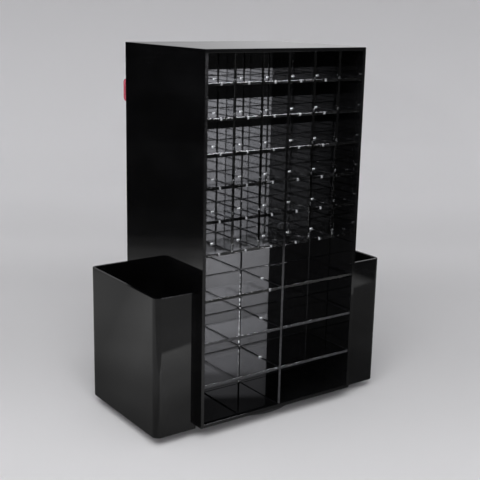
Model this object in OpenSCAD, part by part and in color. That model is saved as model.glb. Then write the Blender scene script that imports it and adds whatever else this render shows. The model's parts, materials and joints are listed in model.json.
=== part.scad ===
// Revolving paint rack: a tower of small bottle cells on a ball-bearing turntable,
// the same on its front and rear faces, with an open bin on each side.
// Millimetres. +Z up, the front faces -Y, and the origin is on the turntable's axis
// at table level.

/* [Tower] */
// Width over the two side panels
tower_w = 190; // [184:1:196]
// Depth from the front edge to the rear edge
tower_d = 144.5; // [141:0.5:150]
// Height of the tower above the turntable
tower_h = 360; // [357:1:366]
// Thickness of the black outer panels
panel_t = 3.5; // [3:0.1:4]
// Thickness of the black panel between the front and the rear cells
centre_t = 4; // [3:0.1:5]

/* [Clear cells] */
// Thickness of the clear shelves and dividers
sheet_t = 3; // [2.5:0.1:3.2]
// How far the shelves and dividers stop behind the tower's front edge
edge_setback = 0.5; // [0.2:0.1:2]
// Height of the middle of the deck between the small cells and the large bays
deck_z = 171.9; // [170:0.1:173]
// Height from one small-cell shelf to the next
cell_pitch = 31.5; // [31:0.1:31.8]
// Height of the middle of the top shelf in the large bays
bay_top_z = 127.6; // [126:0.1:129]
// Height from one large-bay shelf to the next
bay_pitch = 42.5; // [41.5:0.1:42.8]
// Room on each side of a sheet in the slot that it crosses
slot_gap = 0.1; // [0.05:0.05:0.2]

/* [Side bins] */
// Width of each bin outside the side panel
bin_w = 45; // [40:1:50]
// Height of the bin's rim above the tower's underside
bin_rim_z = 136; // [120:1:150]
// How far the bin hangs below the tower's underside
bin_drop = 3; // [0:0.5:5]
// How far the bin's front stands behind the tower's front edge
bin_front = 9.5; // [5:0.5:15]
// How far the bin's back stands in front of the tower's rear edge
bin_rear = 4.5; // [3:0.5:15]
// Thickness of the bent bin wall
bin_t = 3; // [2.5:0.1:4]
// Outer radius of the bin's two bent corners
bin_r = 6.5; // [5:0.5:12]

/* [Turntable] */
// Height of the tower's underside above the table
stand_h = 12; // [12:0.5:14]
// Radius of the turntable disc
disc_r = 58; // [56:1:64]
// Thickness of the turntable disc
disc_t = 5; // [4.5:0.1:5]
// Radius of the ball track
track_r = 40; // [38:0.5:41]
// Radius of the balls
ball_r = 1.5; // [1.4:0.05:1.5]
// Radius of the pivot pin
pin_r = 4; // [3.5:0.1:5]

/* [Pull tab] */
// Height of the tab
tab_h = 22; // [18:0.5:24]
// How far the tab stands out behind the side panel
tab_out = 11; // [6:0.5:14]

/* [Hidden] */
$fn = 96;
e = 0.01;
inner_w = tower_w - 2*panel_t;
half_w = inner_w/2;
roof_z = tower_h - panel_t;
front_y = -tower_d/2 + edge_setback;
plate_d = tower_d/2 - edge_setback - centre_t/2;
slot_l = plate_d/2 + 0.2;
slot_w = sheet_t + 2*slot_gap;
columns = 6;
column_w = (inner_w - (columns - 1)*sheet_t)/columns;
shelf_zs = [for (k = [5:-1:1]) deck_z + k*cell_pitch];
bay_zs = [for (k = [0:2]) bay_top_z - k*bay_pitch];
all_zs = concat(shelf_zs, [deck_z], bay_zs);
pad_t = 1.2;
disc_z = pad_t;
race_z = disc_z + disc_t;
race_t = 2;
ball_z = (race_z + stand_h)/2;
ball_count = 24;
groove = (ball_r + 0.05)*sqrt(2);
race_in = track_r - 9;
race_out = track_r + 9;
screw_r = 1.25;
run_gap = 0.05;
head_r = 9;
head_t = 1.6;
washer_t = 0.5;
recess_t = head_t + washer_t + 0.5;
pin_top = stand_h + 2;
black = [0.03, 0.03, 0.035];
clear = [0.75, 0.80, 0.85, 0.35];
steel = [0.62, 0.63, 0.65];

// Middle of divider k, counted from 1 at the left of the face that it belongs to
function divider_x(k) = -half_w + k*(column_w + sheet_t) - sheet_t/2;

module block(x0, x1, y0, y1, z0, z1) {
    translate([x0, y0, z0]) cube([x1 - x0, y1 - y0, z1 - z0]);
}

module ring(r_in, r_out, z0, z1) {
    difference() {
        translate([0, 0, z0]) cylinder(r = r_out, h = z1 - z0);
        translate([0, 0, z0 - 1]) cylinder(r = r_in, h = z1 - z0 + 2);
    }
}

module around(count, r) {
    for (i = [0:count - 1]) rotate([0, 0, 360*(i + 0.5)/count]) translate([r, 0, 0]) children();
}

// ---- Turntable base ----

module base_pad() color([0.10, 0.10, 0.10]) cylinder(r = disc_r - 3, h = pad_t);

module base_disc() color(black) difference() {
    translate([0, 0, disc_z]) cylinder(r = disc_r, h = disc_t);
    translate([0, 0, disc_z - 1]) cylinder(r = pin_r + run_gap, h = disc_t + 2);
    translate([0, 0, disc_z - 1]) cylinder(r = head_r + 1, h = recess_t + 1);
    around(4, race_in + 3.2) translate([0, 0, race_z - 3]) cylinder(r = screw_r + run_gap, h = 4);
}

// Ring with a V groove on its upper side at the ball track, and four countersunk holes
module race() {
    difference() {
        ring(race_in, race_out, 0, race_t);
        rotate_extrude()
            polygon([[track_r - groove, ball_z - race_z],
                     [track_r, ball_z - race_z - groove],
                     [track_r + groove, ball_z - race_z]]);
        around(4, race_in + 3.2) {
            translate([0, 0, -1]) cylinder(r = screw_r + run_gap, h = race_t + 2);
            translate([0, 0, race_t - 1.2]) cylinder(r1 = screw_r + run_gap, r2 = 2.55, h = 1.2 + e);
        }
    }
}

// Countersunk screw, its head flush with z = 0 and its shank below
module flat_screw(shank) {
    translate([0, 0, -shank]) cylinder(r = screw_r, h = shank - 1);
    translate([0, 0, -1.15]) cylinder(r1 = screw_r, r2 = 2.4, h = 1.15 - 0.05);
}

module lower_race() color(steel) translate([0, 0, race_z]) race();

module lower_race_screws() color(steel)
    around(4, race_in + 3.2) translate([0, 0, race_z + race_t]) flat_screw(4.8);

module thrust_washer() color([0.85, 0.85, 0.82])
    ring(pin_r + 0.1, head_r, disc_z + recess_t - washer_t, disc_z + recess_t);

// ---- Ball ring ----

module ball_cage() color([0.80, 0.72, 0.45]) difference() {
    ring(track_r - 3.5, track_r + 3.5, ball_z - 0.35, ball_z + 0.35);
    around(ball_count, track_r) translate([0, 0, ball_z - 2]) cylinder(r = ball_r + 0.1, h = 4);
}

module bearing_balls() color([0.80, 0.80, 0.82])
    around(ball_count, track_r) translate([0, 0, ball_z]) sphere(r = ball_r);

// ---- Tower, from the turntable up ----

module upper_race() color(steel)
    translate([0, 0, stand_h]) mirror([0, 0, 1]) race();

module upper_race_screws() color(steel)
    around(4, race_in + 3.2)
        translate([0, 0, stand_h - race_t]) mirror([0, 0, 1]) flat_screw(4.8);

// Headed pin: its head turns under the disc and its top is glued in the bottom panel
module pivot_pin() color(steel) {
    head_top = disc_z + recess_t - washer_t - 0.1;
    translate([0, 0, head_top - head_t]) cylinder(r = head_r, h = head_t);
    translate([0, 0, head_top - e]) cylinder(r = pin_r, h = pin_top - head_top);
}

module bottom_panel() color(black) difference() {
    block(-half_w, half_w, -tower_d/2, tower_d/2, stand_h, stand_h + panel_t);
    translate([0, 0, stand_h - 1]) cylinder(r = pin_r + run_gap, h = pin_top - stand_h + 1.1);
    around(4, race_in + 3.2) translate([0, 0, stand_h - 1]) cylinder(r = screw_r + run_gap, h = 4);
}

module top_panel() color(black) translate([0, 0, stand_h])
    block(-tower_w/2, tower_w/2, -tower_d/2, tower_d/2, roof_z, tower_h);

module side_panel() translate([0, 0, stand_h])
    block(-tower_w/2, -half_w, -tower_d/2, tower_d/2, 0, roof_z);

module left_side_panel() color(black) side_panel();

module right_side_panel() color(black) mirror([1, 0, 0]) side_panel();

module centre_panel() color(black) translate([0, 0, stand_h])
    block(-half_w, half_w, -centre_t/2, centre_t/2, panel_t, roof_z);

// ---- Clear cells: shelves slotted from the front edge, dividers from the rear edge ----

// Shelf with its middle at height z above the tower's underside
module shelf(z, dividers) translate([0, 0, stand_h + z - sheet_t/2]) difference() {
    block(-half_w, half_w, front_y, front_y + plate_d, 0, sheet_t);
    for (k = dividers)
        block(divider_x(k) - slot_w/2, divider_x(k) + slot_w/2,
              front_y - 1, front_y + slot_l, -1, sheet_t + 1);
}

// Upright divider k from z0 to z1, crossing the shelves at heights zs
module divider(k, z0, z1, zs) translate([divider_x(k) - sheet_t/2, 0, stand_h]) difference() {
    block(0, sheet_t, front_y, front_y + plate_d, z0, z1);
    for (z = zs)
        block(-1, sheet_t + 1, front_y + plate_d - slot_l, front_y + plate_d + 1,
              z - slot_w/2, z + slot_w/2);
}

module small_shelf(n) color(clear) shelf(shelf_zs[n - 1], [1:columns - 1]);

module deck() color(clear) shelf(deck_z, [1:columns - 1]);

module bay_shelf(n) color(clear) shelf(bay_zs[n - 1], [columns/2]);

// The foot of a short divider drops through the deck's slot in front and sits on the deck behind
module short_divider(k) color(clear) difference() {
    divider(k, deck_z - sheet_t/2, roof_z, shelf_zs);
    translate([0, 0, stand_h])
        block(divider_x(k) - 5, divider_x(k) + 5, front_y + plate_d - slot_l,
              front_y + plate_d + 1, deck_z - sheet_t, deck_z + slot_w/2);
}

module tall_divider() color(clear) divider(columns/2, panel_t, roof_z, all_zs);

module rear_side() rotate([0, 0, 180]) children();

module front_shelf_1() small_shelf(1);
module front_shelf_2() small_shelf(2);
module front_shelf_3() small_shelf(3);
module front_shelf_4() small_shelf(4);
module front_shelf_5() small_shelf(5);
module front_deck() deck();
module front_bay_shelf_1() bay_shelf(1);
module front_bay_shelf_2() bay_shelf(2);
module front_bay_shelf_3() bay_shelf(3);
module front_divider_1() short_divider(1);
module front_divider_2() short_divider(2);
module front_centre_divider() tall_divider();
module front_divider_4() short_divider(4);
module front_divider_5() short_divider(5);

module rear_shelf_1() rear_side() small_shelf(1);
module rear_shelf_2() rear_side() small_shelf(2);
module rear_shelf_3() rear_side() small_shelf(3);
module rear_shelf_4() rear_side() small_shelf(4);
module rear_shelf_5() rear_side() small_shelf(5);
module rear_deck() rear_side() deck();
module rear_bay_shelf_1() rear_side() bay_shelf(1);
module rear_bay_shelf_2() rear_side() bay_shelf(2);
module rear_bay_shelf_3() rear_side() bay_shelf(3);
module rear_divider_1() rear_side() short_divider(1);
module rear_divider_2() rear_side() short_divider(2);
module rear_centre_divider() rear_side() tall_divider();
module rear_divider_4() rear_side() short_divider(4);
module rear_divider_5() rear_side() short_divider(5);

// ---- Side bins: one bent wall and a floor, open towards the side panel and at the top ----

// Left bin's plan filled solid, with its two outer corners rounded, grown inwards by inset
module bin_plan(inset, r, z0, z1) {
    x0 = -tower_w/2 - bin_w + inset;
    x1 = -tower_w/2;
    y0 = -tower_d/2 + bin_front + inset;
    y1 = tower_d/2 - bin_rear - inset;
    block(x0 + r, x1, y0, y1, z0, z1);
    block(x0, x1, y0 + r, y1 - r, z0, z1);
    for (y = [y0 + r, y1 - r]) translate([x0 + r, y, z0]) cylinder(r = r, h = z1 - z0);
}

module bin_wall() color(black) translate([0, 0, stand_h]) difference() {
    bin_plan(0, bin_r, -bin_drop, bin_rim_z);
    translate([1, 0, 0]) bin_plan(bin_t, bin_r - bin_t, -bin_drop - 1, bin_rim_z + 1);
    bin_plan(bin_t, bin_r - bin_t, -bin_drop - 1, bin_rim_z + 1);
    // relief notch in the rim at the front, where the wall meets the side panel
    block(-tower_w/2 - 3, -tower_w/2 + 1, -tower_d/2, 0, bin_rim_z - 2.5, bin_rim_z + 1);
}

module bin_floor() color(black) translate([0, 0, stand_h])
    bin_plan(bin_t + 0.05, bin_r - bin_t, -bin_drop, -bin_drop + bin_t);

module left_bin_wall() bin_wall();
module left_bin_floor() bin_floor();
module right_bin_wall() mirror([1, 0, 0]) bin_wall();
module right_bin_floor() mirror([1, 0, 0]) bin_floor();

// ---- Pull tab on the inner face of the left side panel, standing out at the rear ----

module pull_tab() color([0.75, 0.15, 0.20, 0.6]) {
    root = 12;
    r = 4;
    x0 = -half_w;
    y1 = tower_d/2 + tab_out;
    z0 = stand_h + shelf_zs[1] + sheet_t/2 + 1.5;
    difference() {
        union() {
            block(x0, x0 + sheet_t, tower_d/2 - root, y1 - r, z0, z0 + tab_h);
            block(x0, x0 + sheet_t, tower_d/2 - root, y1, z0 + r, z0 + tab_h - r);
            for (z = [z0 + r, z0 + tab_h - r])
                translate([x0, y1 - r, z]) rotate([0, 90, 0]) cylinder(r = r, h = sheet_t);
        }
        for (z = [z0 + 6, z0 + tab_h - 6])
            translate([x0 - 1, y1 - 5, z]) rotate([0, 90, 0]) cylinder(r = 2.2, h = sheet_t + 2);
        block(x0 - 1, x0 + sheet_t + 1, y1 - 7.2, y1 - 2.8, z0 + 6, z0 + tab_h - 6);
    }
}

base_pad();
base_disc();
lower_race();
lower_race_screws();
thrust_washer();
ball_cage();
bearing_balls();
upper_race();
upper_race_screws();
pivot_pin();
bottom_panel();
top_panel();
left_side_panel();
right_side_panel();
centre_panel();
front_shelf_1();
front_shelf_2();
front_shelf_3();
front_shelf_4();
front_shelf_5();
front_deck();
front_bay_shelf_1();
front_bay_shelf_2();
front_bay_shelf_3();
front_divider_1();
front_divider_2();
front_centre_divider();
front_divider_4();
front_divider_5();
rear_shelf_1();
rear_shelf_2();
rear_shelf_3();
rear_shelf_4();
rear_shelf_5();
rear_deck();
rear_bay_shelf_1();
rear_bay_shelf_2();
rear_bay_shelf_3();
rear_divider_1();
rear_divider_2();
rear_centre_divider();
rear_divider_4();
rear_divider_5();
left_bin_wall();
left_bin_floor();
right_bin_wall();
right_bin_floor();
pull_tab();
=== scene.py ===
"""Looks of a revolving acrylic paint rack: finished sheets, cement beads, materials and studio.

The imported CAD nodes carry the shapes. Metres, +Z up, the front faces -Y. Each acrylic sheet is
replaced by a copy of its own node with rounded edges, and with its sawn faces told apart.
"""
import json
import math
import random

import bmesh
import bpy
from mathutils import Matrix, Vector


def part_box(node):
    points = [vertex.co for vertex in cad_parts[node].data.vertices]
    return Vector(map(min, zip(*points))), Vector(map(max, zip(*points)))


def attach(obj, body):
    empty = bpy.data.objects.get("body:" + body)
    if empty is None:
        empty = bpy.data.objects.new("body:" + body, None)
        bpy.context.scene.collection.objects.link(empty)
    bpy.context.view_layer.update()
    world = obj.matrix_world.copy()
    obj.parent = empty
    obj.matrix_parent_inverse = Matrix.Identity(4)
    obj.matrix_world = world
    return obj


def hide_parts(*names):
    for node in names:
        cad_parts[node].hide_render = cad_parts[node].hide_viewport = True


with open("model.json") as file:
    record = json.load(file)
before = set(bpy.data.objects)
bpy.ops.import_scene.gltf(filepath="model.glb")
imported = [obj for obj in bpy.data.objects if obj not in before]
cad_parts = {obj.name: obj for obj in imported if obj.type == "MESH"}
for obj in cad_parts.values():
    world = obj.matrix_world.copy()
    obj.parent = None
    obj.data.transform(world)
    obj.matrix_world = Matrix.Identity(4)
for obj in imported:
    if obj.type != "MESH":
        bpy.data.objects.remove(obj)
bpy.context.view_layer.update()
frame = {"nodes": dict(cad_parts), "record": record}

NODES = frame["nodes"]
SCENE = bpy.context.scene
MM = 0.001
X, Y, Z = range(3)
SIDES = ("front", "rear")
OUTWARD = {"front": -1.0, "rear": 1.0}       # which way along Y a side's cells open

# The view: where the camera stands and how it is turned
CAMERA_AT = (-0.5537, -0.7679, 0.4106)
CAMERA_YAW = math.radians(35.72)
CAMERA_PITCH = math.radians(14.12)
CAMERA_ROLL = math.radians(1.23)
CAMERA_LENS = 70.3
SENSOR = 36.0

# Finish of the sheets
ACRYLIC_IOR = 1.49
EDGE_ROUND = 0.28 * MM       # rounding left by flame and scraper on every sheet edge
EDGE_STEPS = 2
SHARP = math.radians(35)     # edges bent more than this are rounded
SLOT_GLOW = 5.0 * MM         # length of a slot's side that is as bright as the slot's end, with its painted glow
CROWN_HEIGHT = 1.1 * MM      # upper strip of a clear shelf's open edge, and how far it leans
CROWN_LEAN = math.radians(9.2)
SATIN_EDGED = ("bay_shelf_2", "bay_shelf_3", "centre_divider")     # scraped, not flame-polished
EDGE_PAINTED_LIGHT = (0.14, 0.20, 1.0, 0.05)           # heights between which a satin edge's painted light, its grey, fades out
SANDED_TILT = 0.7            # a bin's faces whose normals have this much of Z are sanded
BIN_SHARP = math.radians(30)     # edges of a bin bent more than this stay sharp in its shading

# Mesh tolerances
WELD = 1e-6                  # points closer than this are one
FLAT = math.radians(0.5)     # seams between faces flatter than this are taken out
CUT_SNAP = 1e-7
ON_OUTLINE = 1e-5            # a face this near the node's box belongs to its outline

# Cement
GAP = 0.02 * MM              # room between cement and the walls that it fills the corner of
CORNER_BEAD = 0.25 * MM      # leg of the solvent cement bead along a cell's depth
BEAD_INSET = 1.0 * MM        # how far behind the open edge that bead starts
BACK_BEAD = 0.45 * MM        # leg of the bead against the centre panel
GLINT_LEG = 0.50 * MM        # stretches of the bead up the centre divider, in the bays, that glow as painted glints
GLINT_LENGTH, GLINT_GAP = (0.8 * MM, 3.2 * MM), (0.8 * MM, 3.6 * MM)
DOT = 0.42 * MM              # radius of the cement drop at a slot's end
DOT_SIZES = (0.7, 1.1)       # smallest and largest drop, as shares of it
DOT_UNEVEN = 0.12            # how far a drop's points stray, as a share of its radius
DOT_STAND = DOT * 0.6        # how far its middle stands off the sheets
DROP_FORWARD = 2.0 * MM      # how far in front of mid depth it sits
DROP_SEED, GLINT_SEED = 7, 11
DECK = 5                     # the deck's place among the shelves, from the top down

# Studio. A span of four numbers carries the first two over to the last two. Levels are stops
# of (position, brightness). "Beyond" is away from the photograph's camera, from the rack's axis.
STAGE_TURNS = 96             # corners of the round floor and table
SWEEP_RINGS = (0.4, 0.9)     # radii that divide the flat part of the paper
SWEEP_FLOOR, SWEEP_CURVE, SWEEP_TOP = 1.15, 1.6, 3.0
SWEEP_ARC_STEPS = 16
SWEEP_REACH = (-0.6, 2.4)    # the stretch beyond the axis that the paper's levels cover
# Painted shade and light on the paper: darker round the rack's foot for its shadow, lighter far off
SWEEP_PAINTED_LEVELS = ((0.0, 0.70), (0.14, 0.71), (0.25, 0.63), (0.32, 0.66), (0.42, 0.79),
                (0.58, 0.94), (1.0, 0.94))
NEAR_WALL_PAINTED_LIGHT = (-1.7, -0.9, 1.34, 1.0)          # painted light: lighter paper behind the camera, where the lamps reach little
WALL_SHADE = (0.05, 0.50, 1.0, 0.81)         # painted shade: the wall darkens upwards as its light falls off
PAPER_RED, PAPER_GREEN = 0.985, 0.98         # as shares of its blue

# What the gloss sees of the table, in place of the paper, as painted light: a glowing pool, darker
# near the rack's foot as painted shadow. Its spans run along X and Y
TABLE_RADIUS, TABLE_Z = 2.0, -0.0004
TABLE_LEVELS = ((0.0, 0.04), (0.07, 0.13), (0.10, 0.23), (0.16, 0.44), (0.23, 0.55),
                (0.30, 0.56), (0.345, 0.30), (0.385, 0.12), (0.42, 0.04), (0.55, 0.02))
TABLE_FRONT = (-0.10, -0.02, 1.0, 0.0)       # where the pool is brighter, in front of the rack
TABLE_FRONT_BOOST = (0.01, 0.15, 1.6, -0.40)     # by how much, down to darker on the right
TABLE_BOOST_FROM = (-0.17, -0.10, 0.0, 1.0)      # where that begins, on the left
TABLE_ACROSS = (-0.108, -0.06, 1.08, 0.62)   # across the view that the centre panel mirrors
TABLE_EDGE_TURN = math.radians(12)
TABLE_EDGE_Y, TABLE_EDGE_BLUR = -0.27, 0.004     # the table's front edge; a floor shows past it
FLOOR_ACROSS = (0.15, 0.40, 0.37, 0.64)      # that floor, from left to right
FLOOR_END = (0.405, 0.44, 1.0, 0.05)

# What the gloss sees of the backdrop, an upright card, and the light of the room
BACK_DISTANCE, BACK_HALF, BACK_TOP = 1.7, 2.5, 2.0
BACK_TINT = (0.985, 0.98, 1.0, 1.0)
BACK_FADE = (0.75, 1.9, 0.57, 0.02)          # by height
BACK_SIDE = (-0.35, 0.10, 0.54, 1.0)         # from left to right
ROOM_SPILL = (-0.2, 0.9, 0.006, 0.085)       # from away from the softbox to towards it
ROOM_TINT = (0.98, 0.98, 1.0, 1.0)

# Lights. Azimuths are measured to the right of the rack's front.
SOFTBOX_DISTANCE = 1.8
SOFTBOX_WIDTH, SOFTBOX_LOW, SOFTBOX_HIGH = 0.66, 0.42, 1.05
SOFTBOX_DEPTH = 0.08
SOFTBOX_TINT = (0.945, 0.94, 1.0, 1.0)
SOFTBOX_ACROSS = ((0.0, 0.30), (0.17, 0.75), (0.32, 1.0), (1.0, 1.0))
SOFTBOX_UPWARD = ((0.0, 0.70), (0.12, 1.0), (0.38, 1.0), (0.50, 0.76), (0.62, 0.66),
                  (0.66, 0.12), (1.0, 0.10))
SOFTBOX_AZIMUTH, SOFTBOX_RADIANCE = math.radians(30.2), 10.5
LEFT_SOFTBOX_AZIMUTH, LEFT_SOFTBOX_RADIANCE = math.radians(-38), 1.4
LAMPS = (                    # name, place (right, beyond, height), size, watts, seen in the gloss
    ("overhead", (-0.1, -0.7, 2.3), (2.4, 2.4), 27.0, True),
    ("front_key", (-0.1, -1.6, 1.7), (2.0, 1.2), 26.0, False),
    ("front_fill", (0.0, -2.6, 0.53), (3.4, 0.9), 23.0, False),
)


# ---- Small helpers for shader trees ----

class Tree:
    """A material's node tree, with short calls to add and join nodes."""

    def __init__(self, name):
        self.mat = bpy.data.materials.new(name)
        self.mat.use_nodes = True
        self.nodes = self.mat.node_tree.nodes
        self.links = self.mat.node_tree.links
        self.nodes.clear()
        self.out = self.nodes.new("ShaderNodeOutputMaterial")

    def set(self, node, name, value):
        socket = node.inputs[name]
        if isinstance(value, bpy.types.NodeSocket):
            self.links.new(value, socket)
        else:
            socket.default_value = value

    def add(self, kind, **sockets):
        node = self.nodes.new("ShaderNode" + kind)
        for name, value in sockets.items():
            self.set(node, name.replace("_", " "), value)
        return node

    def finish(self, shader):
        self.links.new(shader, self.out.inputs["Surface"])
        return self.mat

    def surface(self, **sockets):
        return self.finish(self.add("BsdfPrincipled", **sockets).outputs["BSDF"])

    def place(self, scale=(1.0, 1.0, 1.0), turn=0.0):
        """Object coordinates in metres, turned about Z and stretched by scale."""
        coords = self.add("TexCoord")
        mapping = self.add("Mapping", Vector=coords.outputs["Object"])
        mapping.inputs["Scale"].default_value = scale
        mapping.inputs["Rotation"].default_value = (0.0, 0.0, turn)
        return mapping.outputs["Vector"]

    def where(self, turn=0.0):
        """The X, Y and Z outputs of the object coordinates, turned about Z."""
        return self.add("SeparateXYZ", Vector=self.place(turn=turn)).outputs

    def noise(self, scale, detail=3.0, rough=0.5, stretch=(1.0, 1.0, 1.0)):
        node = self.add("TexNoise", Vector=self.place(stretch), Scale=scale, Detail=detail,
                        Roughness=rough)
        return node.outputs["Fac"]

    def span(self, value, low, high, to_low, to_high):
        """Value from low..high carried over to to_low..to_high, and held there beyond."""
        node = self.add("MapRange", Value=value)
        for name, number in zip(("From Min", "From Max", "To Min", "To Max"),
                                (low, high, to_low, to_high)):
            node.inputs[name].default_value = number
        return node.outputs["Result"]

    def grade(self, grain, low, high):
        """A noise's usual range carried over to low..high."""
        return self.span(grain, 0.3, 0.7, low, high)

    def maths(self, operation, a, b=0.0):
        node = self.nodes.new("ShaderNodeMath")
        node.operation = operation
        for index, value in enumerate((a, b)):
            if isinstance(value, bpy.types.NodeSocket):
                self.links.new(value, node.inputs[index])
            else:
                node.inputs[index].default_value = value
        return node.outputs[0]

    def product(self, first, *others):
        for other in others:
            first = self.maths("MULTIPLY", first, other)
        return first

    def scaled(self, colour, factor):
        node = self.add("VectorMath")
        node.operation = "SCALE"
        node.inputs[0].default_value = colour
        self.set(node, "Scale", factor)
        return node.outputs["Vector"]

    def curve(self, value, stops):
        """Grey level read from a list of (position, level) stops."""
        node = self.add("ValToRGB", Fac=value)
        ramp = node.color_ramp
        ramp.interpolation = "EASE"
        while len(ramp.elements) < len(stops):
            ramp.elements.new(0.5)
        for element, (position, level) in zip(ramp.elements, stops):
            element.position = position
            element.color = (level, level, level, 1.0)
        return node.outputs["Color"]

    def bump(self, height, strength, distance):
        node = self.add("Bump", Height=height, Strength=strength, Distance=distance)
        return node.outputs["Normal"]

    def glow(self, strength, colour=(1.0, 1.0, 1.0, 1.0)):
        """Finish as a plain emitter."""
        return self.finish(self.add("Emission", Color=colour, Strength=strength).outputs[0])


# ---- Materials ----

def black_polished(name, dust, haze, base=0.0015):
    """Cast black acrylic: mirror gloss, a slight wave, hairlines, wipe marks and specks of dust."""
    tree = Tree(name)
    wipe = tree.span(tree.noise(7.0, 5.0, 0.6, (1.0, 1.0, 2.5)), 0.45, 0.75, 0.0, haze)
    specks = tree.span(tree.noise(900.0, 2.0, 0.6), 0.74, 0.78, 0.0, dust)
    hairs = tree.span(tree.noise(260.0, 2.0, 0.5, (1.0, 1.0, 0.03)), 0.68, 0.76, 0.0, haze)
    rough = tree.maths("ADD", tree.maths("ADD", wipe, hairs), specks)
    grey = tree.maths("ADD", tree.product(specks, 0.5),
                      tree.maths("ADD", base, tree.product(wipe, 0.05)))
    colour = tree.add("CombineColor", Red=grey, Green=grey, Blue=tree.product(grey, 1.08))
    return tree.surface(Base_Color=colour.outputs["Color"], Roughness=rough, IOR=ACRYLIC_IOR,
                        Normal=tree.bump(tree.noise(11.0, 1.0), 0.03, 0.002))


def black_sawn():
    """The sanded edge of a black sheet: satin, with fine marks across it."""
    tree = Tree("black_acrylic_edge")
    marks = tree.noise(420.0, 3.0, 0.6)
    return tree.surface(Base_Color=(0.0025, 0.0025, 0.0028, 1.0), IOR=ACRYLIC_IOR,
                        Roughness=tree.grade(marks, 0.16, 0.28),
                        Normal=tree.bump(marks, 0.15, 0.0002))


def clear_polished():
    """Clear cast acrylic, with faint hairlines in its gloss."""
    tree = Tree("clear_acrylic")
    hairs = tree.noise(300.0, 2.0, 0.5, (1.0, 0.05, 0.3))
    return tree.surface(Base_Color=(0.975, 0.98, 0.985, 1.0), IOR=ACRYLIC_IOR,
                        Transmission_Weight=1.0,
                        Roughness=tree.span(hairs, 0.70, 0.78, 0.0, 0.05))


def clear_slot_shade():
    """The sides of a slot cut in a clear sheet: rough, no light passes, and near black as painted
    shade for the shadow in the joint's gap.
    """
    tree = Tree("clear_acrylic_slot")
    marks = tree.noise(500.0, 3.0, 0.6)
    return tree.surface(Base_Color=(0.035, 0.036, 0.04, 1.0), IOR=ACRYLIC_IOR,
                        Roughness=tree.grade(marks, 0.45, 0.65))


def clear_satin():
    """The scraped edge of a clear sheet: satin, with a painted grey low down that stands for the
    table's light on it.
    """
    tree = Tree("clear_acrylic_edge")
    marks = tree.noise(450.0, 3.0, 0.6)
    # Painted light: the edge's grey, and its roughness with it, fade out upwards, standing for the
    # table's light low down
    painted_table_light = tree.span(tree.where()["Z"], *EDGE_PAINTED_LIGHT)
    shade = tree.product(tree.grade(marks, 0.85, 1.15), painted_table_light)
    rough = tree.product(tree.grade(marks, 0.20, 0.34), painted_table_light)
    return tree.surface(Base_Color=tree.scaled((0.030, 0.030, 0.033), shade), IOR=ACRYLIC_IOR,
                        Roughness=rough)


def frosted(name, grey, glow):
    """A frosted cut or blob: its own painted glow stands for light that the sheet leads to it, or
    for a glint.
    """
    tree = Tree(name)
    grain = tree.noise(900.0, 3.0, 0.6)
    level = tree.span(grain, 0.35, 0.65, grey * 0.75, grey)
    colour = tree.add("CombineColor", Red=level, Green=level, Blue=level)
    return tree.surface(Base_Color=colour.outputs["Color"], Roughness=0.35, IOR=ACRYLIC_IOR,
                        Emission_Color=(0.93, 0.95, 1.0, 1.0), Emission_Strength=glow)


def cement():
    """Set solvent cement in the corners: glossy, uneven, dark against the black panels; its
    near-black colour is painted shade, for dark shadow lines along the joints.
    """
    tree = Tree("joint_cement")
    lumps = tree.noise(700.0, 2.0, 0.6)
    return tree.surface(Base_Color=(0.012, 0.012, 0.014, 1.0), IOR=ACRYLIC_IOR,
                        Roughness=tree.grade(lumps, 0.08, 0.30),
                        Normal=tree.bump(lumps, 0.6, 0.0006))


def grained(name, colour, rough, metallic=0.0, grain=60.0, stretch=(1.0, 1.0, 1.0), lift=0.0002):
    """A plain engineering finish with a fine grain in its colour, gloss and surface."""
    tree = Tree(name)
    fine = tree.noise(grain * 12.0, 3.0, 0.6, stretch)
    broad = tree.noise(grain, 3.0, 0.5)
    shade = tree.grade(broad, 0.86, 1.10)
    return tree.surface(Base_Color=tree.scaled(colour, shade), Metallic=metallic,
                        Roughness=tree.grade(fine, rough * 0.8, rough * 1.2),
                        Normal=tree.bump(fine, 0.2, lift))


def red_tab():
    """Cloudy translucent red: a little painted glow stands for the light that passes through it."""
    tree = Tree("red_tab")
    shade = tree.grade(tree.noise(120.0, 2.0), 0.9, 1.1)
    return tree.surface(Base_Color=tree.scaled((0.46, 0.10, 0.135), shade), Roughness=0.22,
                        IOR=ACRYLIC_IOR, Emission_Color=(0.30, 0.045, 0.06, 1.0),
                        Emission_Strength=0.25)


MATERIALS = {
    "black_acrylic": black_polished("black_acrylic", 0.35, 0.06),
    "clear_acrylic": clear_polished(),
    "black_turntable": grained("black_turntable", (0.024, 0.024, 0.026), 0.38),
    "rubber_pad": grained("rubber_pad", (0.022, 0.022, 0.022), 0.8, grain=90.0),
    "zinc_steel": grained("zinc_steel", (0.60, 0.61, 0.63), 0.30, 1.0, 50.0),
    "ball_steel": grained("ball_steel", (0.75, 0.76, 0.78), 0.09, 1.0, 30.0, lift=0.00002),
    "cage_brass": grained("cage_brass", (0.70, 0.53, 0.25), 0.30, 1.0, 70.0),
    "nylon": grained("nylon", (0.78, 0.77, 0.72), 0.50, grain=80.0),
    "red_tab": red_tab(),
}
MIRROR_BLACK = black_polished("black_acrylic_inner", 0.12, 0.0, 0.003)
BLACK_EDGE = black_sawn()
# Painted shade: the slot sides are near black, standing for the shadow in the joints' gaps
CLEAR_SLOT = clear_slot_shade()
# Painted light: the shelves' slot ends glow, standing for light the sheet leads to them
SLOT_END = frosted("clear_acrylic_slot_end", 0.85, 0.32)
CLEAR_EDGE = clear_satin()
# Painted shade: the cement is near black so the joints show dark shadow lines
CEMENT = cement()
# Painted glints: the cement drops glow white, standing for highlights at the slot ends
PAINTED_GLINT_DROP = frosted("cement_drop", 0.9, 2.0)
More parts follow.
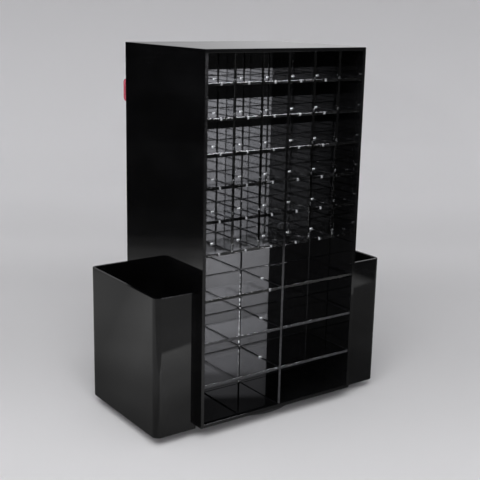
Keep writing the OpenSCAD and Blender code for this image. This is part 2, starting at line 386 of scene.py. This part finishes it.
# Painted glints: these stretches of bead glow, standing for a softbox's highlight on the bead
GLINT = frosted("cement_painted_glints", 0.9, 0.9)

for part in frame["record"]["subparts"]:
    for material_slot in NODES[part["node"]].material_slots:
        material_slot.material = MATERIALS[part["material_slot"]]


# ---- Pieces ----

FACE, OUTER_EDGE, SLOT_WALL, SLOT_TIP = range(4)     # material slots of a finished sheet


def new_piece(name, bm, materials):
    """Make an object of the mesh, riding on the tower."""
    mesh = bpy.data.meshes.new(name)
    bm.to_mesh(mesh)
    bm.free()
    for material in materials:
        mesh.materials.append(material)
    piece = bpy.data.objects.new(name, mesh)
    SCENE.collection.objects.link(piece)
    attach(piece, "tower")
    return piece


def clean_copy(node):
    """A node's mesh without doubled points and without seams across flat faces."""
    bm = bmesh.new()
    bm.from_mesh(NODES[node].data)
    bmesh.ops.remove_doubles(bm, verts=bm.verts, dist=WELD)
    bmesh.ops.dissolve_limit(bm, angle_limit=FLAT, verts=bm.verts, edges=bm.edges)
    return bm


def cut_across(bm, axis, at):
    """Divide the faces where a plane square to an axis crosses them; both sides stay."""
    normal = Vector((0.0, 0.0, 0.0))
    normal[axis] = 1.0
    bmesh.ops.bisect_plane(bm, geom=bm.verts[:] + bm.edges[:] + bm.faces[:], dist=CUT_SNAP,
                           plane_co=normal * at, plane_no=normal)


def round_edges(bm):
    bent = [e for e in bm.edges if len(e.link_faces) == 2 and e.calc_face_angle() > SHARP]
    bmesh.ops.bevel(bm, geom=bent, offset=EDGE_ROUND, segments=EDGE_STEPS, profile=0.5,
                    affect="EDGES", clamp_overlap=True)


def crown(bm, side, top):
    """Lean the upper strip of a shelf's open edge back a little, as a flame-polished edge does."""
    outward = OUTWARD[side]
    open_y = max(v.co.y * outward for v in bm.verts) * outward
    cut_across(bm, Z, top - CROWN_HEIGHT)
    for v in bm.verts:
        if abs(v.co.y - open_y) < WELD and abs(v.co.z - top) < WELD:
            v.co.y -= outward * CROWN_HEIGHT * math.tan(CROWN_LEAN)


def finished_sheet(node, face, edge, cut=None, cut_end=None):
    """A node's own mesh with rounded edges: face, edge, slot side and slot end told apart."""
    bm = clean_copy(node)
    low = [min(v.co[i] for v in bm.verts) for i in range(3)]
    high = [max(v.co[i] for v in bm.verts) for i in range(3)]
    sizes = [h - l for l, h in zip(low, high)]
    thin = sizes.index(min(sizes))
    mid_y = (low[Y] + high[Y]) / 2
    if cut and thin == Z:
        for y in (mid_y - SLOT_GLOW, mid_y + SLOT_GLOW):
            cut_across(bm, Y, y)
    for f in bm.faces:
        axis = max(range(3), key=lambda i: abs(f.normal[i]))
        middle = f.calc_center_median()
        outline = min(middle[axis] - low[axis], high[axis] - middle[axis]) < ON_OUTLINE
        if axis == thin and (outline or cut):
            f.material_index = FACE
        elif outline or not cut:
            f.material_index = OUTER_EDGE
        else:
            near_end = axis == Y or abs(middle.y - mid_y) < SLOT_GLOW
            f.material_index = SLOT_TIP if near_end else SLOT_WALL
    if cut and "_shelf_" in node and "_bay_" not in node:
        crown(bm, node.split("_")[0], high[Z])
    round_edges(bm)
    piece = new_piece(node + "_finished", bm, [face, edge, cut or edge, cut_end or edge])
    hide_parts(node)


def finished_bin(node):
    """A bin's node with rounded rims; a wall's faces that look along Z are sanded."""
    bm = clean_copy(node)
    for f in bm.faces:
        f.smooth = True
        sanded = "wall" in node and abs(f.normal.z) > SANDED_TILT
        f.material_index = OUTER_EDGE if sanded else FACE
    round_edges(bm)
    piece = new_piece(node + "_finished", bm, [MATERIALS["black_acrylic"], BLACK_EDGE])
    piece.data.set_sharp_from_angle(angle=BIN_SHARP)
    weighted = piece.modifiers.new("flat_faces", "WEIGHTED_NORMAL")
    weighted.weight, weighted.keep_sharp = 100, True
    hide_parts(node)


for name in ("top_panel", "right_side_panel"):
    finished_sheet(name, MATERIALS["black_acrylic"], MATERIALS["black_acrylic"])
for name in ("bottom_panel", "left_side_panel"):
    finished_sheet(name, MATERIALS["black_acrylic"], BLACK_EDGE)
finished_sheet("centre_panel", MIRROR_BLACK, BLACK_EDGE)
for side in ("left", "right"):
    finished_bin(side + "_bin_wall")
    finished_bin(side + "_bin_floor")
for part in frame["record"]["subparts"]:
    if part["material_slot"] == "clear_acrylic":
        name = part["node"]
        satin = name.split("_", 1)[1] in SATIN_EDGED
        finished_sheet(name, MATERIALS["clear_acrylic"],
                       CLEAR_EDGE if satin else MATERIALS["clear_acrylic"],
                       CLEAR_SLOT, CLEAR_SLOT if "divider" in name else SLOT_END)


# ---- Cement: dark beads along the joints as painted shade, and drops where two slots meet that glow as painted glints ----

def wedge(bm, start, axis, length, leg_a, leg_b):
    """A three-sided bead: from start along one axis, with legs up the two walls of a corner."""
    step = Vector((0, 0, 0))
    step[axis] = length
    rings = []
    for base in (Vector(start), Vector(start) + step):
        rings.append([bm.verts.new(base), bm.verts.new(base + leg_a), bm.verts.new(base + leg_b)])
    for i in range(3):
        j = (i + 1) % 3
        bm.faces.new((rings[0][i], rings[0][j], rings[1][j], rings[1][i]))
    bm.faces.new(rings[0][::-1])
    bm.faces.new(rings[1])


def drop(bm, at, radius, rng):
    """A small uneven blob of set cement."""
    made = bmesh.ops.create_icosphere(bm, subdivisions=2, radius=radius)
    for v in made["verts"]:
        v.co = v.co * (1.0 + rng.uniform(-DOT_UNEVEN, DOT_UNEVEN)) + Vector(at)


def levels(side):
    """Clear shelves of one side from the top down, as (low z, high z)."""
    names = [f"{side}_shelf_{i}" for i in range(1, 6)] + [f"{side}_deck"]
    names += [f"{side}_bay_shelf_{i}" for i in range(1, 4)]
    return [(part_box(n)[0][Z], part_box(n)[1][Z]) for n in names]


def uprights(side, in_bays):
    """Clear dividers that stand in a row of cells, or of bays, as (low x, high x)."""
    names = [f"{side}_centre_divider"]
    if not in_bays:
        names += [f"{side}_divider_{i}" for i in (1, 2, 4, 5)]
    return sorted((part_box(n)[0][X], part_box(n)[1][X]) for n in names)


def cell_beads(bm, x0, x1, z0, z1, wall_y, open_y, outward):
    """Beads of one cell: round its back wall and along its four corners."""
    back = wall_y + outward * GAP
    corner_from = open_y - outward * BEAD_INSET
    corner_length = wall_y - open_y + outward * (BEAD_INSET + BACK_BEAD)
    for x, dx in ((x0 + GAP, 1.0), (x1 - GAP, -1.0)):
        wedge(bm, (x, back, z0 + BACK_BEAD), Z, z1 - z0 - 2 * BACK_BEAD,
              Vector((dx * BACK_BEAD, 0, 0)), Vector((0, outward * BACK_BEAD, 0)))
        for z, dz in ((z0 + GAP, 1.0), (z1 - GAP, -1.0)):
            wedge(bm, (x, corner_from, z), Y, corner_length,
                  Vector((dx * CORNER_BEAD, 0, 0)), Vector((0, 0, dz * CORNER_BEAD)))
    for z, dz in ((z0 + GAP, 1.0), (z1 - GAP, -1.0)):
        wedge(bm, (x0 + BACK_BEAD, back, z), X, x1 - x0 - 2 * BACK_BEAD,
              Vector((0, outward * BACK_BEAD, 0)), Vector((0, 0, dz * BACK_BEAD)))


def divider_glints(bm, side, z0, z1, wall_y, rng):
    """Stretches of the bead where the centre divider meets the centre panel, glowing as painted
    glints.
    """
    outward = OUTWARD[side]
    low, high = uprights(side, in_bays=True)[0]
    x = (low if side == "front" else high) + outward * GAP
    z = z0 + GLINT_GAP[1]
    while z < z1 - GLINT_GAP[1]:
        length = rng.uniform(*GLINT_LENGTH)
        wedge(bm, (x, wall_y + outward * GAP, z), Z, length,
              Vector((outward * GLINT_LEG, 0, 0)), Vector((0, outward * GLINT_LEG, 0)))
        z += length + rng.uniform(*GLINT_GAP)


def cement_side(side):
    """The cement of one side's cells and bays."""
    outward = OUTWARD[side]
    facing = SIDES.index(side)
    wall_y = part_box("centre_panel")[facing][Y]
    open_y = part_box(f"{side}_shelf_1")[facing][Y]
    drop_y = (wall_y + open_y) / 2.0 + outward * DROP_FORWARD
    shelves = levels(side)
    ceilings = [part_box("top_panel")[0][Z]] + [low for low, high in shelves]
    floors = [high for low, high in shelves] + [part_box("bottom_panel")[1][Z]]
    beads, drops, glints = bmesh.new(), bmesh.new(), bmesh.new()
    rng, glint_rng = random.Random(DROP_SEED), random.Random(GLINT_SEED)
    for row, (ceiling, floor) in enumerate(zip(ceilings, floors)):
        posts = uprights(side, in_bays=row > DECK)
        lefts = [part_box("left_side_panel")[1][X]] + [high for low, high in posts]
        rights = [low for low, high in posts] + [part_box("right_side_panel")[0][X]]
        for x0, x1 in zip(lefts, rights):
            cell_beads(beads, x0, x1, floor, ceiling, wall_y, open_y, outward)
        if row < len(shelves):
            for low, high in posts:
                for x in (low - DOT_STAND, high + DOT_STAND):
                    drop(drops, (x, drop_y, floor + DOT_STAND), DOT * rng.uniform(*DOT_SIZES), rng)
        if DECK + 1 < row < len(shelves):
            divider_glints(glints, side, floor, ceiling, wall_y, glint_rng)
    for bm in (beads, glints):
        bmesh.ops.recalc_face_normals(bm, faces=bm.faces)
    new_piece(side + "_cement_beads", beads, [CEMENT])
    new_piece(side + "_cement_glints", glints, [GLINT])
    new_piece(side + "_cement_drops", drops, [PAINTED_GLINT_DROP])


for side in SIDES:
    cement_side(side)


# ---- Studio set ----

def along(right, forward, height=0.0):
    """A point given by its distance to the camera's right of and beyond the rack's axis."""
    c, s = math.cos(CAMERA_YAW), math.sin(CAMERA_YAW)
    return Vector((right * c + forward * s, -right * s + forward * c, height))


def circle(radius, height):
    """Corners of the round floor or table about the rack's axis."""
    angles = [2 * math.pi * t / STAGE_TURNS for t in range(STAGE_TURNS)]
    return [(radius * math.cos(a), radius * math.sin(a), height) for a in angles]


def stage_mesh(name, verts, faces, material):
    mesh = bpy.data.meshes.new(name)
    mesh.from_pydata([tuple(v) for v in verts], [], faces)
    mesh.materials.append(material)
    obj = bpy.data.objects.new(name, mesh)
    SCENE.collection.objects.link(obj)
    return obj


def seen_by(obj, camera, reflections, diffuse):
    """Choose the rays that meet a stage object. None of these objects throws a shadow."""
    obj.visible_camera = camera
    obj.visible_glossy = reflections
    obj.visible_transmission = reflections
    obj.visible_diffuse = diffuse
    obj.visible_shadow = False


def sweep_material():
    """Pale matt paper; its colour carries painted shade and light from near to far and up the wall.
    """
    tree = Tree("studio_paper")
    ahead = tree.where(CAMERA_YAW)["Y"]
    shade = tree.product(tree.curve(tree.span(ahead, *SWEEP_REACH, 0.0, 1.0), SWEEP_PAINTED_LEVELS),
                         tree.span(ahead, *NEAR_WALL_PAINTED_LIGHT), tree.span(tree.where()["Z"], *WALL_SHADE))
    colour = tree.add("CombineColor", Red=tree.product(shade, PAPER_RED),
                      Green=tree.product(shade, PAPER_GREEN), Blue=shade)
    return tree.finish(tree.add("BsdfDiffuse", Color=colour.outputs["Color"]).outputs[0])


def back_material():
    """What the gloss sees of the backdrop: bright low down, fading to the dark room above."""
    tree = Tree("studio_back")
    where = tree.where(CAMERA_YAW)
    level = tree.product(tree.span(where["Z"], *BACK_FADE), tree.span(where["X"], *BACK_SIDE))
    return tree.glow(level, BACK_TINT)


def softbox_material(name, radiance):
    """The softbox's cloth: dimmer at its right end and below, nearly dark in its top third."""
    tree = Tree(name)
    where = tree.where()
    half_w, half_h = SOFTBOX_WIDTH / 2, (SOFTBOX_HIGH - SOFTBOX_LOW) / 2
    across = tree.curve(tree.span(where["X"], -half_w, half_w, 0.0, 1.0), SOFTBOX_ACROSS)
    upward = tree.curve(tree.span(where["Z"], -half_h, half_h, 0.0, 1.0), SOFTBOX_UPWARD)
    return tree.glow(tree.product(across, upward, radiance), SOFTBOX_TINT)


def table_material():
    """What the gloss sees, as painted light: a pool of light on the table, darker near the rack as
    painted shadow, and the floor in front of the table.
    """
    tree = Tree("studio_table")
    distance = tree.add("VectorMath", Vector=tree.place())
    distance.operation = "LENGTH"
    outwards = tree.span(distance.outputs["Value"], 0.0, TABLE_RADIUS, 0.0, 1.0)
    where = tree.where()
    boost = tree.product(tree.span(where["X"], *TABLE_FRONT_BOOST),
                         tree.span(where["X"], *TABLE_BOOST_FROM),
                         tree.span(where["Y"], *TABLE_FRONT))
    on_table = tree.span(tree.where(TABLE_EDGE_TURN)["Y"], TABLE_EDGE_Y - TABLE_EDGE_BLUR,
                         TABLE_EDGE_Y + TABLE_EDGE_BLUR, 0.0, 1.0)
    pool = tree.product(tree.curve(outwards, TABLE_LEVELS),
                        tree.span(tree.where(-CAMERA_YAW)["X"], *TABLE_ACROSS),
                        tree.maths("ADD", 1.0, boost), on_table)
    floor = tree.product(tree.span(where["X"], *FLOOR_ACROSS), tree.span(where["X"], *FLOOR_END),
                         tree.maths("SUBTRACT", 1.0, on_table))
    return tree.glow(tree.maths("ADD", pool, floor))


def paper_sweep():
    """Round paper floor that curves up into a wall, all round the rack."""
    profile = [(radius, 0.0) for radius in SWEEP_RINGS]
    for i in range(SWEEP_ARC_STEPS + 1):
        a = math.pi / 2 * i / SWEEP_ARC_STEPS
        profile.append((SWEEP_FLOOR + SWEEP_CURVE * math.sin(a), SWEEP_CURVE * (1 - math.cos(a))))
    profile.append((SWEEP_FLOOR + SWEEP_CURVE, SWEEP_TOP))
    verts = [point for radius, height in profile for point in circle(radius, height)]
    verts.append((0.0, 0.0, 0.0))
    following = [(t, (t + 1) % STAGE_TURNS) for t in range(STAGE_TURNS)]
    faces = [(k * STAGE_TURNS + t, k * STAGE_TURNS + u, (k + 1) * STAGE_TURNS + u,
              (k + 1) * STAGE_TURNS + t) for k in range(len(profile) - 1) for t, u in following]
    faces += [(u, t, len(verts) - 1) for t, u in following]
    sweep = stage_mesh("studio_sweep", verts, faces, sweep_material())
    for polygon in sweep.data.polygons:
        polygon.use_smooth = True
    seen_by(sweep, camera=True, reflections=False, diffuse=True)


def dim_room():
    """World light: a dark room, a little lighter on the softbox's side."""
    world = bpy.data.worlds.new("studio_world")
    SCENE.world = world
    world.use_nodes = True
    nodes, links = world.node_tree.nodes, world.node_tree.links
    lean = nodes.new("ShaderNodeVectorMath")
    lean.operation = "DOT_PRODUCT"
    lean.inputs[1].default_value = (math.sin(SOFTBOX_AZIMUTH), -math.cos(SOFTBOX_AZIMUTH), 0.0)
    spill = nodes.new("ShaderNodeMapRange")
    for name, number in zip(("From Min", "From Max", "To Min", "To Max"), ROOM_SPILL):
        spill.inputs[name].default_value = number
    links.new(nodes.new("ShaderNodeTexCoord").outputs["Generated"], lean.inputs[0])
    links.new(lean.outputs["Value"], spill.inputs["Value"])
    links.new(spill.outputs["Result"], nodes["Background"].inputs["Strength"])
    nodes["Background"].inputs["Color"].default_value = ROOM_TINT


def softbox(name, azimuth, radiance):
    """An upright lit panel in a dark housing, facing the rack."""
    half_w, half_h = SOFTBOX_WIDTH / 2, (SOFTBOX_HIGH - SOFTBOX_LOW) / 2
    rim = [(-half_w, -half_h), (half_w, -half_h), (half_w, half_h), (-half_w, half_h)]
    verts = [(x, y, z) for y in (0.0, SOFTBOX_DEPTH) for x, z in rim]
    obj = stage_mesh(name, verts, [(0, 1, 2, 3), (4, 5, 6, 7)] +
                     [(i, (i + 1) % 4, (i + 1) % 4 + 4, i + 4) for i in range(4)],
                     softbox_material(name + "_cloth", radiance))
    obj.data.materials.append(HOUSING)
    for polygon in obj.data.polygons[1:]:
        polygon.material_index = 1
    obj.location = (math.sin(azimuth) * SOFTBOX_DISTANCE, -math.cos(azimuth) * SOFTBOX_DISTANCE,
                    (SOFTBOX_HIGH + SOFTBOX_LOW) / 2)
    obj.rotation_euler = (0.0, 0.0, azimuth + math.pi)
    seen_by(obj, camera=False, reflections=True, diffuse=False)


def lamp(name, place, size, power, in_gloss):
    """A soft rectangular lamp that points at the foot of the rack."""
    data = bpy.data.lights.new(name, "AREA")
    data.shape = "RECTANGLE"
    data.size, data.size_y = size
    data.energy = power
    obj = bpy.data.objects.new(name, data)
    SCENE.collection.objects.link(obj)
    obj.location = along(*place)
    obj.rotation_mode = "QUATERNION"
    obj.rotation_quaternion = (Vector() - along(*place)).to_track_quat("-Z", "Y")
    obj.visible_camera = False
    obj.visible_glossy = obj.visible_transmission = in_gloss


paper_sweep()
table = stage_mesh("studio_table", circle(TABLE_RADIUS, TABLE_Z), [tuple(range(STAGE_TURNS))],
                   table_material())
seen_by(table, camera=False, reflections=True, diffuse=False)
back = stage_mesh("studio_back", [along(right, BACK_DISTANCE, height) for right, height in
                                  ((-BACK_HALF, 0.0), (BACK_HALF, 0.0),
                                   (BACK_HALF, BACK_TOP), (-BACK_HALF, BACK_TOP))],
                  [(0, 1, 2, 3)], back_material())
seen_by(back, camera=False, reflections=True, diffuse=False)
dim_room()
HOUSING = grained("studio_housing", (0.02, 0.02, 0.02), 0.6)
softbox("studio_softbox", SOFTBOX_AZIMUTH, SOFTBOX_RADIANCE)
softbox("studio_softbox_left", LEFT_SOFTBOX_AZIMUTH, LEFT_SOFTBOX_RADIANCE)
for entry in LAMPS:
    lamp(*entry)


# ---- Camera ----

def place_camera():
    data = bpy.data.cameras.new("camera")
    data.lens, data.sensor_width = CAMERA_LENS, SENSOR
    camera = bpy.data.objects.new("camera", data)
    SCENE.collection.objects.link(camera)
    camera.location = CAMERA_AT
    camera.rotation_mode = "QUATERNION"
    forward = Vector((math.sin(CAMERA_YAW) * math.cos(CAMERA_PITCH),
                      math.cos(CAMERA_YAW) * math.cos(CAMERA_PITCH), -math.sin(CAMERA_PITCH)))
    right = Vector((math.cos(CAMERA_YAW), -math.sin(CAMERA_YAW), 0.0))
    up = right.cross(forward)
    turned_right = math.cos(CAMERA_ROLL) * right + math.sin(CAMERA_ROLL) * up
    turned_up = -math.sin(CAMERA_ROLL) * right + math.cos(CAMERA_ROLL) * up
    axes = Matrix((turned_right, turned_up, -forward)).transposed()
    camera.rotation_quaternion = axes.to_quaternion()
    SCENE.camera = camera


place_camera()
SCENE.view_settings.view_transform = "Standard"

# Light that crosses several clear sheets has to reach the end of its path
SCENE.cycles.min_light_bounces = 16
SCENE.cycles.max_bounces = 24
SCENE.cycles.transmission_bounces = 24
SCENE.cycles.glossy_bounces = 16
